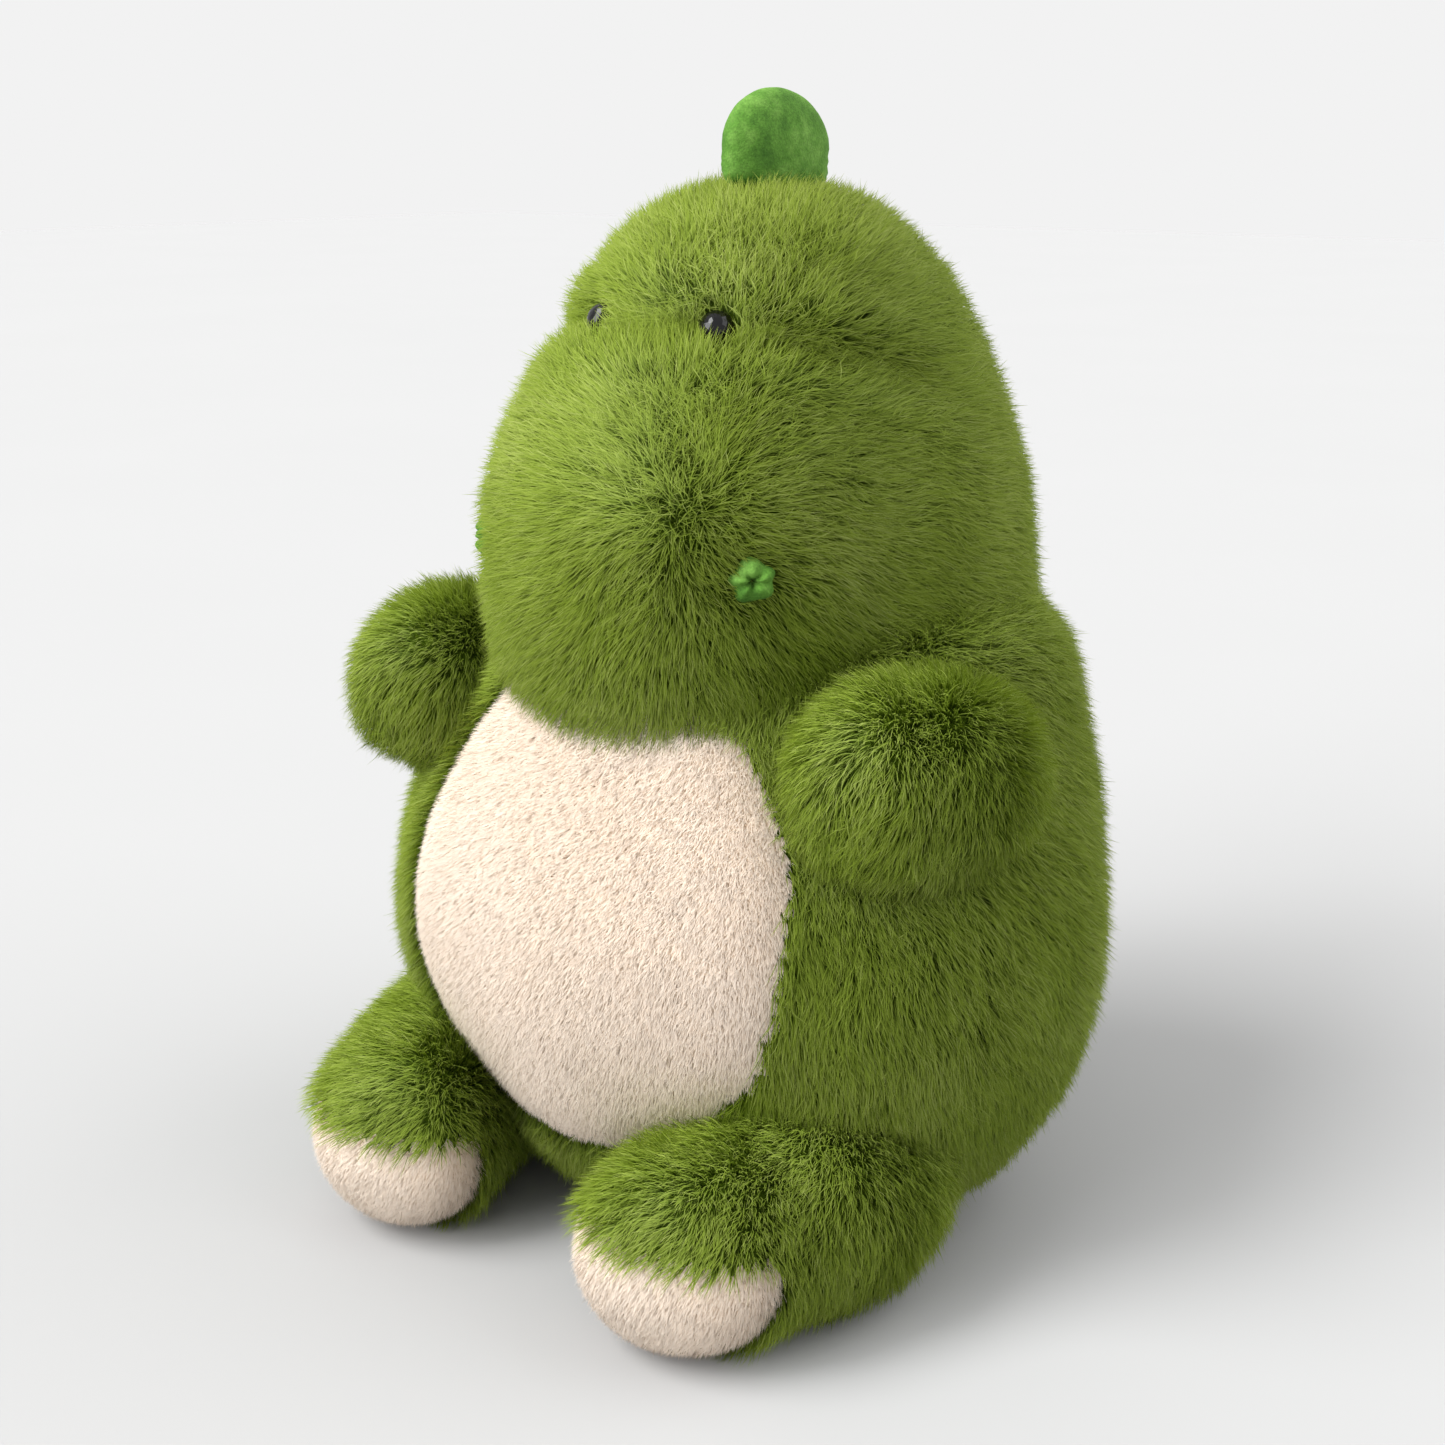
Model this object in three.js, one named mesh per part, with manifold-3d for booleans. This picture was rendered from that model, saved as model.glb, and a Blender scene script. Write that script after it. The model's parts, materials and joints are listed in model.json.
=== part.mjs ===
// A sitting stuffed dinosaur: long-pile green fabric over soft stuffing, with a cream belly,
// cream soles, velvet spikes and safety eyes. Millimetres, +Z up. The dinosaur faces -Y and its
// left side is +X. The origin is on the floor, under the middle of its bounding box.
import * as THREE from "three";
import { mergeVertices } from "three/addons/utils/BufferGeometryUtils.js";
import Module from "manifold-3d";

const wasm = await Module();
wasm.setup();

// ---- Driving dimensions -------------------------------------------------------------------

const PILE = 8; // thickness of the pile fabric, backing to fur tips
const VELVET = 1.6; // thickness of the velvet on the spikes
const GAP = 0.4; // between pieces that touch
const PLAY = 2; // between pieces that move against each other
const BASE_THICKNESS = 3; // the flat seat panel
const BODY_HALF_WIDTH = 124; // across the flanks
const HEAD_RADIUS = 62; // of the cranium

// A soft shape is a blend of rounded lobes. at: centre, r: half-sizes, tilt: degrees about X.
const TORSO = {
  centre: [0, 0, 90],
  blend: 16,
  lobes: [
    { at: [0, -7, 85], r: [BODY_HALF_WIDTH, 90, 88] }, // seat and flanks
    { at: [0, 10, 135], r: [BODY_HALF_WIDTH - 16, 81, 88] }, // chest and upper back
    { at: [0, -17, 68], r: [BODY_HALF_WIDTH - 18, 78, 69] }, // belly
    { at: [0, 2, 34], r: [BODY_HALF_WIDTH - 20, 82, 44] }, // what the toy sits on
  ],
};
const NECK = { at: [0, 16, 194], r: [81, 67, 67] }; // round about its X axis, so the head can nod
const SNOUT = { at: [0, -37, 200], r: [68, 47, 63] };
const HEAD = {
  centre: [0, 2, 218],
  blend: 12,
  lobes: [
    { at: [0, 8, 244], r: [HEAD_RADIUS, HEAD_RADIUS + 1, HEAD_RADIUS] }, // cranium
    { at: [0, 20, 214], r: [HEAD_RADIUS + 9, HEAD_RADIUS, HEAD_RADIUS + 3] }, // nape
    NECK,
    SNOUT,
  ],
};
const NECK_SEAM = { height: 150, slope: 0.22 }; // the head's fabric ends on this tilted plane
const CHIN_SEAM = { height: 156, slope: 0.1 }; // the lower jaw's panel lies under this one
// The belly panel is an egg, seen from the front.
const BELLY = { height: 100, halfWidth: BODY_HALF_WIDTH - 55, rise: 76, drop: 62 };

const SHOULDER = BODY_HALF_WIDTH - 39; // an arm's middle from the body's
const ARM = { at: [SHOULDER + 1, -35, 151], r: [31, 42, 30], tilt: -8, pivot: [SHOULDER, -14, 153] };
const HIP = BODY_HALF_WIDTH - 58; // a thigh's middle from the body's
const LEG = {
  foot: { at: [HIP - 16, -97, 28], r: [40, 27, 31] },
  thigh: { at: [HIP, -48, 32], r: [39, 52, 36] },
  pivot: [HIP, -40, 31],
  blend: 10,
};
const SOLE = { height: 33, slope: 0, heel: -107 }; // the cream panel over the toes' front and underside
const TAIL = {
  root: { at: [0, 84, 36], r: [27, 36, 30] },
  tip: { at: [0, 104, 26], r: [14, 20, 16] },
  pivot: [0, 66, 38],
  blend: 12,
};
// Spikes stand on the middle of the back. Each is a leaf with its long side along the spine.
const SPIKE_SINK = 3; // how deep a spike's seam lies in the pile
const SPIKES = [
  { name: "head_spike", on: "head", lean: 6, r: [8.5, 26, 18] },
  { name: "nape_spike", on: "head", lean: 75, r: [8, 20, 20] },
  { name: "upper_back_spike", on: "torso", lean: 57, r: [8, 20, 19] },
  { name: "lower_back_spike", on: "torso", lean: 88, r: [7, 17, 16] },
];
const SPIKE_RISE = 2; // a leaf's centre above the fur surface

// turn and rise: degrees from straight ahead and from level, seen from the head's centre.
const EYE = { turn: 24.5, rise: 42.3, radius: 5, shank: 1.5, shankLength: 8 };
const EYE_PARTING = 1.6; // width of the parting in the pile round an eye
const WASHER = { rim: 1, thickness: 1.6, slack: 2 }; // rim: past the eye; slack: behind the fabric
const NOSTRIL = { turn: 37, rise: -10, radius: 5.6, thickness: 3 };
// How far under the fur tips the widest part of an eye, and a nostril's rim, lie.
const EYE_SINK = PILE - 1.5;
const NOSTRIL_SINK = PILE - 4.5;
const PELLET_BAG = { at: [0, 4, 15], r: [56, 42, 17] };

// Travel of each joint in degrees; the fabric beside it is cut clear over the same range.
const TRAVEL = {
  head: [0, 16], // up from resting on the chest
  arm: [-25, 10], // down and up
  leg: [-10, 20], // down and up
  tail: [-15, 15], // right and left
  spike: [-15, 15], // either side of upright
};
const TRAVEL_STEP = 10; // degrees between the copies that a clearance cut is made of

// ---- Solids -------------------------------------------------------------------------------

function toSolid(geometry) {
  const bare = geometry.clone();
  bare.deleteAttribute("normal");
  bare.deleteAttribute("uv");
  const merged = mergeVertices(bare, 1e-4);
  return new wasm.Manifold(
    new wasm.Mesh({
      numProp: 3,
      vertProperties: merged.attributes.position.array,
      triVerts: new Uint32Array(merged.index.array),
    }),
  );
}

function toGeometry(solid) {
  const mesh = solid.getMesh();
  const geometry = new THREE.BufferGeometry();
  geometry.setAttribute("position", new THREE.BufferAttribute(mesh.vertProperties, 3));
  geometry.setIndex(new THREE.BufferAttribute(mesh.triVerts, 1));
  return geometry;
}

// Facets round and up a soft shape.
const FINE = [16, 11];
const LIMB = [12, 8];

// The main body of a solid, without the loose slivers that crossing clearance cuts leave.
function mainBody(solid) {
  const bodies = solid.decompose();
  return bodies.reduce((most, body) => (body.volume() > most.volume() ? body : most));
}

const join = (solids) => solids.reduce((all, solid) => all.add(solid));
const cut = (solid, tools) => tools.reduce((rest, tool) => rest.subtract(tool), solid);

// Distance along a ray from inside a lobe to its surface, or 0 where the ray misses it.
function exitDistance(centre, direction, lobe, inset) {
  const untilt = new THREE.Matrix4().makeRotationX((-(lobe.tilt ?? 0) * Math.PI) / 180);
  const half = new THREE.Vector3(...lobe.r).subScalar(inset);
  const start = centre.clone().sub(new THREE.Vector3(...lobe.at)).applyMatrix4(untilt).divide(half);
  const step = direction.clone().applyMatrix4(untilt).divide(half);
  const a = step.lengthSq();
  const b = start.dot(step);
  const inside = b * b - a * (start.lengthSq() - 1);
  return inside > 0 ? Math.max(0, (Math.sqrt(inside) - b) / a) : 0;
}

// The larger of two distances, rounded over where they are nearly equal.
function blendedMax(a, b, width) {
  const near = Math.max(width - Math.abs(a - b), 0) / width;
  return Math.max(a, b) + (near * near * width) / 4;
}

function surfaceDistance(shape, direction, inset = 0) {
  const centre = new THREE.Vector3(...shape.centre);
  return shape.lobes
    .map((lobe) => exitDistance(centre, direction, lobe, inset))
    .reduce((a, b) => blendedMax(a, b, shape.blend));
}

// A soft shape as a closed surface, shrunk by inset (or grown, if it is negative).
function softShape(shape, inset = 0, [around, rings] = FINE) {
  const sphere = new THREE.SphereGeometry(1, around, rings).rotateX(Math.PI / 2);
  const points = sphere.attributes.position;
  const direction = new THREE.Vector3();
  for (let i = 0; i < points.count; i++) {
    direction.fromBufferAttribute(points, i).normalize();
    const reach = surfaceDistance(shape, direction, inset);
    direction.multiplyScalar(reach).add(new THREE.Vector3(...shape.centre));
    points.setXYZ(i, direction.x, direction.y, direction.z);
  }
  return sphere;
}

const FAR = 500;
const box = (low, high) =>
  new THREE.BoxGeometry(high[0] - low[0], high[1] - low[1], high[2] - low[2]).translate(
    (low[0] + high[0]) / 2,
    (low[1] + high[1]) / 2,
    (low[2] + high[2]) / 2,
  );
const above = (height) => toSolid(box([-FAR, -FAR, height], [FAR, FAR, FAR]));
const leftOf = (x) => toSolid(box([x, -FAR, -FAR], [FAR, FAR, FAR]));
const rightOf = (x) => toSolid(box([-FAR, -FAR, -FAR], [x, FAR, FAR]));

// Everything under a plane that climbs towards +Y; lift moves the plane up.
function belowSeam(seam, lift = 0) {
  return toSolid(
    box([-FAR, -FAR, -FAR], [FAR, FAR, 0])
      .rotateX(Math.atan(seam.slope))
      .translate(0, 0, seam.height + lift),
  );
}

function turned(geometry, pivot, axis, degrees) {
  const turn = new THREE.Matrix4().makeRotationAxis(axis, (degrees * Math.PI) / 180);
  return geometry
    .clone()
    .translate(-pivot[0], -pivot[1], -pivot[2])
    .applyMatrix4(turn)
    .translate(...pivot);
}

// The room that a shape takes up as it turns about its joint, from rest to each limit.
function sweptRoom(geometry, pivot, axis, limits) {
  const copies = [toSolid(geometry)];
  for (const limit of limits) {
    const steps = Math.ceil(Math.abs(limit) / TRAVEL_STEP);
    for (let i = 1; i <= steps; i++) {
      copies.push(toSolid(turned(geometry, pivot, axis, (limit * i) / steps)));
    }
  }
  return join(copies);
}

// The cream part of a foot: under the toe seam and in front of the heel seam.
function soleRegion(lift) {
  return belowSeam(SOLE, lift).intersect(toSolid(box([-FAR, -FAR, -FAR], [FAR, SOLE.heel + lift, FAR])));
}

const LIFT_AXIS = new THREE.Vector3(-1, 0, 0); // turning about it raises what points forward
const WAG_AXIS = new THREE.Vector3(0, 0, 1);

// ---- Materials ----------------------------------------------------------------------------

const cloth = (color, roughness = 0.95) =>
  new THREE.MeshStandardMaterial({ color, roughness, metalness: 0 });
const GREEN_PILE = cloth(0x5a7420);
const CREAM_PILE = cloth(0xf3e6d4);
const VELVET_GREEN = cloth(0x5f8a3a, 0.8);
const STUFFING = cloth(0xf5f5f2);
const BAG_CLOTH = cloth(0xd8d4c8);
const EYE_BLACK = cloth(0x0a0a0a, 0.08);
const WASHER_WHITE = cloth(0xe8e8e8, 0.5);

// ---- The scene graph ----------------------------------------------------------------------

const dinosaur = new THREE.Group();

function bodyGroup(pivot) {
  const group = new THREE.Group();
  group.position.set(...pivot);
  dinosaur.add(group);
  return group;
}

function addPiece(group, name, solid, material) {
  const geometry = toGeometry(solid);
  geometry.translate(-group.position.x, -group.position.y, -group.position.z);
  const mesh = new THREE.Mesh(geometry, material);
  mesh.name = name;
  group.add(mesh);
}

const mirrorX = (point, side) => [side * point[0], point[1], point[2]];
const mirrorLobe = (lobe, side) => ({ ...lobe, at: mirrorX(lobe.at, side) });
const SIDES = [
  ["left", 1],
  ["right", -1],
];

// ---- Arms, legs and tail ------------------------------------------------------------------
// A limb's fabric ends at the torso's backing. Its stuffing goes on inside the torso, as wide as
// the fabric, and turns in a hollow of the torso's stuffing.

const torsoCore = toSolid(softShape(TORSO, PILE));
const torsoInside = toSolid(softShape(TORSO, PILE + GAP));
const limbRooms = [];
const onFloor = (solid) => solid.intersect(above(0));
const limbShape = (shape, inset) => toSolid(softShape(shape, inset, LIMB));

function limb(shape, pivot, axis, travel) {
  const outer = limbShape(shape, 0).subtract(torsoCore);
  const root = limbShape(shape, GAP).intersect(torsoInside);
  limbRooms.push(sweptRoom(softShape(shape, -PLAY, LIMB), pivot, axis, travel));
  return {
    pile: onFloor(outer.subtract(limbShape(shape, PILE))),
    filling: onFloor(limbShape(shape, PILE + GAP).add(root)),
  };
}

const split = (solid, height) => [
  solid.intersect(above(height + GAP / 2)),
  solid.subtract(above(height - GAP / 2)),
];

for (const [side, sign] of SIDES) {
  const lobe = mirrorLobe(ARM, sign);
  const pivot = mirrorX(ARM.pivot, sign);
  const shape = { centre: lobe.at, blend: 1, lobes: [lobe] };
  const { pile, filling } = limb(shape, pivot, LIFT_AXIS, TRAVEL.arm);
  const [upper, lower] = split(pile, pivot[2]);
  const group = bodyGroup(pivot);
  addPiece(group, `${side}_arm_upper_panel`, upper, GREEN_PILE);
  addPiece(group, `${side}_arm_lower_panel`, lower, GREEN_PILE);
  addPiece(group, `${side}_arm_stuffing`, filling, STUFFING);
}

for (const [side, sign] of SIDES) {
  const lobes = [LEG.foot, LEG.thigh].map((lobe) => mirrorLobe(lobe, sign));
  const middle = lobes[0].at.map((value, i) => (value + lobes[1].at[i]) / 2);
  const pivot = mirrorX(LEG.pivot, sign);
  const shape = { centre: middle, blend: LEG.blend, lobes };
  const { pile, filling } = limb(shape, pivot, LIFT_AXIS, TRAVEL.leg);
  const sole = pile.intersect(soleRegion(-GAP / 2));
  const cover = pile.subtract(soleRegion(GAP / 2));
  const group = bodyGroup(pivot);
  addPiece(group, `${side}_leg_cover`, cover, GREEN_PILE);
  addPiece(group, `${side}_sole`, sole, CREAM_PILE);
  addPiece(group, `${side}_leg_stuffing`, filling, STUFFING);
}

const tail = limb(
  { centre: TAIL.root.at, blend: TAIL.blend, lobes: [TAIL.root, TAIL.tip] },
  TAIL.pivot,
  WAG_AXIS,
  TRAVEL.tail,
);
const tailGroup = bodyGroup(TAIL.pivot);
addPiece(tailGroup, "tail_cover", tail.pile, GREEN_PILE);
addPiece(tailGroup, "tail_stuffing", tail.filling, STUFFING);

// ---- Head ---------------------------------------------------------------------------------

const radians = (degrees) => (degrees * Math.PI) / 180;

function surfaceAt(shape, turn, rise, side) {
  const way = new THREE.Vector3(
    side * Math.sin(radians(turn)) * Math.cos(radians(rise)),
    -Math.cos(radians(turn)) * Math.cos(radians(rise)),
    Math.sin(radians(rise)),
  );
  return way.multiplyScalar(surfaceDistance(shape, way)).add(new THREE.Vector3(...shape.centre));
}

// A point on a shape's surface and the surface's normal there. turn: degrees from -Y towards the
// given side; rise: degrees above level.
function surfacePoint(shape, turn, rise, side = 1) {
  const at = surfaceAt(shape, turn, rise, side);
  const step = 6; // degrees to the neighbours that give the normal
  const across = surfaceAt(shape, turn + step, rise, side).sub(surfaceAt(shape, turn - step, rise, side));
  const up = surfaceAt(shape, turn, rise + step, side).sub(surfaceAt(shape, turn, rise - step, side));
  return { at, out: across.cross(up).multiplyScalar(side).normalize() };
}

// A solid of revolution whose [radius, height] profile stands along the surface's normal.
function turnedSolid(profile, { at, out }, sides = 14) {
  const points = profile.map(([radius, height]) => new THREE.Vector2(radius, height));
  const aim = new THREE.Quaternion().setFromUnitVectors(new THREE.Vector3(0, 1, 0), out);
  const lathe = new THREE.LatheGeometry(points, sides).applyQuaternion(aim);
  return toSolid(lathe.translate(at.x, at.y, at.z));
}

// Profile of a rod from one height to another.
const rod = (radius, low, high) => [[0, low], [radius, low], [radius, high], [0, high]];

// A safety eye: a dome on a shank through the fabric, held by a lock washer behind it.
function eyePieces(side) {
  const place = surfacePoint(HEAD, EYE.turn, EYE.rise, side);
  const { radius, shank, shankLength } = EYE;
  const back = -EYE_SINK - 1;
  const end = back - shankLength;
  const dome = [[radius, back]];
  for (let i = 0; i < 6; i++) {
    const angle = (i / 6) * (Math.PI / 2);
    dome.push([radius * Math.cos(angle), radius * Math.sin(angle) - EYE_SINK]);
  }
  dome.push([0, radius - EYE_SINK]);
  const washerRadius = radius + WASHER.rim;
  const top = -PILE - WASHER.slack;
  const bottom = top - WASHER.thickness;
  const washer = [
    [shank + GAP, bottom],
    [washerRadius, bottom],
    [washerRadius, top],
    [shank + GAP, top],
    [shank + GAP, bottom],
  ];
  return {
    eye: turnedSolid([[0, end], [shank, end], [shank, back], ...dome], place),
    washer: turnedSolid(washer, place),
    pocket: turnedSolid(rod(radius + EYE_PARTING, back - GAP, radius), place),
    shankHole: turnedSolid(rod(shank + GAP, end - GAP, 0), place),
    washerRoom: turnedSolid(rod(washerRadius + GAP, bottom - GAP, 0), place),
    washerSeat: turnedSolid(rod(washerRadius + GAP, bottom - GAP, top + GAP), place),
  };
}

// A nostril: a gathered velvet button with a dimple, sunk in the pile.
function nostrilPieces(side) {
  const place = surfacePoint(HEAD, NOSTRIL.turn, NOSTRIL.rise, side);
  const { radius, thickness } = NOSTRIL;
  const back = -NOSTRIL_SINK - thickness;
  const profile = [
    [0, back],
    [radius * 0.8, back],
    [radius, back + thickness * 0.4],
    [radius * 0.75, -NOSTRIL_SINK],
    [radius * 0.3, -NOSTRIL_SINK - thickness * 0.3],
    [0, -NOSTRIL_SINK - thickness * 0.6],
  ];
  return {
    button: turnedSolid(profile, place),
    pocket: turnedSolid(rod(radius + GAP, back - GAP, radius), place),
  };
}

// ---- Spikes -------------------------------------------------------------------------------

const leafAt = ({ on, lean, r }) => {
  const shape = on === "head" ? HEAD : TORSO;
  const backwards = new THREE.Vector3(0, Math.sin(radians(lean)), Math.cos(radians(lean)));
  const reach = surfaceDistance(shape, backwards);
  const root = backwards.clone().multiplyScalar(reach).add(new THREE.Vector3(...shape.centre));
  const middle = backwards.clone().multiplyScalar(reach + SPIKE_RISE).add(new THREE.Vector3(...shape.centre));
  return { r, lean, root, middle, shape, spine: new THREE.Vector3(0, backwards.z, -backwards.y) };
};

// A leaf, shrunk by inset, with its open foot where the pile's surface is.
function leafGeometry({ r, lean, middle }, inset) {
  return new THREE.SphereGeometry(1, 10, 7)
    .rotateX(Math.PI / 2)
    .scale(r[0] - inset, r[1] - inset, r[2] - inset)
    .rotateX(-radians(lean))
    .translate(middle.x, middle.y, middle.z);
}

function spikePieces(spike) {
  const leaf = leafAt(spike);
  const bed = (depth) => toSolid(softShape(leaf.shape, depth));
  const whole = toSolid(leafGeometry(leaf, 0)).subtract(bed(SPIKE_SINK));
  const hollow = toSolid(leafGeometry(leaf, VELVET));
  const filling = toSolid(leafGeometry(leaf, VELVET + GAP)).subtract(bed(SPIKE_SINK));
  const grown = toSolid(leafGeometry(leaf, -PLAY)).subtract(bed(SPIKE_SINK + PLAY));
  const pivot = leaf.root.toArray();
  return {
    name: spike.name,
    on: spike.on,
    pivot,
    cover: whole.subtract(hollow),
    filling,
    room: sweptRoom(toGeometry(grown), pivot, leaf.spine, TRAVEL.spike),
  };
}

const spikes = SPIKES.map(spikePieces);
for (const { name, pivot, cover, filling } of spikes) {
  const group = bodyGroup(pivot);
  addPiece(group, name, cover, VELVET_GREEN);
  addPiece(group, `${name}_stuffing`, filling, STUFFING);
}
const spikeRooms = (on) => spikes.filter((spike) => spike.on === on).map(({ room }) => room);

// ---- Head pieces --------------------------------------------------------------------------

const headGroup = bodyGroup(NECK.at);
const eyes = SIDES.map(([, sign]) => eyePieces(sign));
const nostrils = SIDES.map(([, sign]) => nostrilPieces(sign));
SIDES.forEach(([side], i) => {
  addPiece(headGroup, `${side}_eye`, eyes[i].eye, EYE_BLACK);
  addPiece(headGroup, `${side}_eye_washer`, eyes[i].washer, WASHER_WHITE);
  addPiece(headGroup, `${side}_nostril`, nostrils[i].button, VELVET_GREEN);
});

// The neck end of the stuffing is a ball as wide as the fabric, bedded in the torso.
const neckBall = toSolid(softShape(HEAD, GAP)).intersect(belowSeam(NECK_SEAM, -GAP));
const headStuffing = cut(toSolid(softShape(HEAD, PILE + GAP)).add(neckBall), [
  ...eyes.map(({ washerRoom }) => washerRoom),
  ...eyes.map(({ shankHole }) => shankHole),
]);
addPiece(headGroup, "head_stuffing", headStuffing, STUFFING);

const headPile = cut(toSolid(softShape(HEAD)), [
  toSolid(softShape(HEAD, PILE)),
  belowSeam(NECK_SEAM),
  ...eyes.flatMap(({ pocket, shankHole, washerSeat }) => [pocket, shankHole, washerSeat]),
  ...nostrils.map(({ pocket }) => pocket),
  ...spikeRooms("head"),
]);
// The jaw panel is the front of the head under the chin seam.
const jaw = (lift) =>
  belowSeam(CHIN_SEAM, lift).intersect(toSolid(box([-FAR, -FAR, -FAR], [FAR, SNOUT.at[1] + lift, FAR])));
const cheeks = headPile.subtract(jaw(GAP / 2));
addPiece(headGroup, "head_left_panel", cheeks.intersect(leftOf(GAP / 2)), GREEN_PILE);
addPiece(headGroup, "head_right_panel", cheeks.intersect(rightOf(-GAP / 2)), GREEN_PILE);
addPiece(headGroup, "jaw_panel", headPile.intersect(jaw(-GAP / 2)), GREEN_PILE);

// ---- Torso --------------------------------------------------------------------------------

// The belly panel's outline, run straight back from in front as far as the middle of the body.
function bellyRegion(margin) {
  const outline = new THREE.Shape();
  const halfWidth = BELLY.halfWidth + margin;
  outline.absellipse(0, 0, halfWidth, BELLY.rise + margin, 0, Math.PI, false, 0);
  outline.absellipse(0, 0, halfWidth, BELLY.drop + margin, Math.PI, 2 * Math.PI, false, 0);
  const block = new THREE.ExtrudeGeometry(outline, { depth: FAR, bevelEnabled: false, curveSegments: 14 });
  return toSolid(block.rotateX(Math.PI / 2).translate(0, 0, BELLY.height));
}

// The room that the head needs as it nods.
const headRoom = sweptRoom(softShape(HEAD, -PLAY), NECK.at, LIFT_AXIS, TRAVEL.head);
const torsoRooms = [headRoom, ...limbRooms];
const floorPanelTop = above(BASE_THICKNESS + GAP);

const torsoGroup = bodyGroup([0, 0, 0]);
const torsoOuter = cut(onFloor(toSolid(softShape(TORSO))), limbRooms);
addPiece(torsoGroup, "base_panel", torsoOuter.subtract(above(BASE_THICKNESS)), GREEN_PILE);

const torsoPile = cut(toSolid(softShape(TORSO)).intersect(floorPanelTop), [
  torsoCore,
  ...torsoRooms,
  ...spikeRooms("torso"),
]);
addPiece(torsoGroup, "belly_panel", torsoPile.intersect(bellyRegion(-GAP / 2)), CREAM_PILE);
const flanks = torsoPile.subtract(bellyRegion(GAP / 2));
addPiece(torsoGroup, "body_left_panel", mainBody(flanks.intersect(leftOf(GAP / 2))), GREEN_PILE);
addPiece(torsoGroup, "body_right_panel", mainBody(flanks.intersect(rightOf(-GAP / 2))), GREEN_PILE);

// The bag of pellets that steadies the seat, under the stuffing.
const bagShape = { centre: PELLET_BAG.at, blend: 1, lobes: [PELLET_BAG] };
const bag = (grown) => toSolid(softShape(bagShape, -grown, LIMB));
const bagHold = toSolid(softShape(TORSO, PILE + 2 * GAP)).intersect(above(BASE_THICKNESS + 2 * GAP));
addPiece(torsoGroup, "pellet_bag", bag(0).intersect(bagHold), BAG_CLOTH);
const torsoStuffing = cut(torsoInside.intersect(floorPanelTop), [bag(GAP), ...torsoRooms]);
addPiece(torsoGroup, "torso_stuffing", torsoStuffing, STUFFING);

export default dinosaur;
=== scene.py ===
"""A sitting stuffed dinosaur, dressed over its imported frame: long green pile, short cream pile,
velvet spikes and nostrils, and glossy safety eyes. Metres, +Z up; it faces -Y."""

import json
import math
from collections import namedtuple

import bmesh
import bpy
import numpy as np
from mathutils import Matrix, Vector
from mathutils.bvhtree import BVHTree
from mathutils.kdtree import KDTree

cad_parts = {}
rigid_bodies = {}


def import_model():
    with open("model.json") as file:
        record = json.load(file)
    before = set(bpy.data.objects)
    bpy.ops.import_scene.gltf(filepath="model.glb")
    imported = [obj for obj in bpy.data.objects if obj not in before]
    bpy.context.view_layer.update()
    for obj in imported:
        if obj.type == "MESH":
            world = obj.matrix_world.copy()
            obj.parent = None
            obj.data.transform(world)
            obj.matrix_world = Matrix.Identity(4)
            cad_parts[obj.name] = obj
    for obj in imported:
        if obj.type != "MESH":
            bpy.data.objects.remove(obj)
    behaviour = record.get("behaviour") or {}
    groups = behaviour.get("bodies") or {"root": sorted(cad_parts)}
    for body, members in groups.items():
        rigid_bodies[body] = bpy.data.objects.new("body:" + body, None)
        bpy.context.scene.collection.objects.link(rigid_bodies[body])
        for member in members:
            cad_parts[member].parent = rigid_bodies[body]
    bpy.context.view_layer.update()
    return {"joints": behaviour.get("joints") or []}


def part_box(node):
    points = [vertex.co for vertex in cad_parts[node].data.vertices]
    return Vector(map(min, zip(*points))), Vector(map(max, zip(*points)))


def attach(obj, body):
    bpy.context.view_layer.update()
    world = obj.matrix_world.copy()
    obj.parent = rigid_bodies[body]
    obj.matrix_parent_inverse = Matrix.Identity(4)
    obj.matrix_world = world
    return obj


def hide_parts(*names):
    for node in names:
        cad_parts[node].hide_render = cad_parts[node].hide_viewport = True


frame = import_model()
MM = 0.001
FAR = 1.0  # beyond every piece, from anywhere inside the toy
rng = np.random.default_rng(11)


# ---- Materials ----------------------------------------------------------------------------

def rgb(red, green, blue):
    """A colour given as 8-bit sRGB, as the linear values that the shaders take."""
    linear = [c / 12.92 if c <= 0.04045 else ((c + 0.055) / 1.055) ** 2.4
              for c in (red / 255, green / 255, blue / 255)]
    return (*linear, 1.0)


def grey(level):
    return (level, level, level, 1.0)


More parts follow.
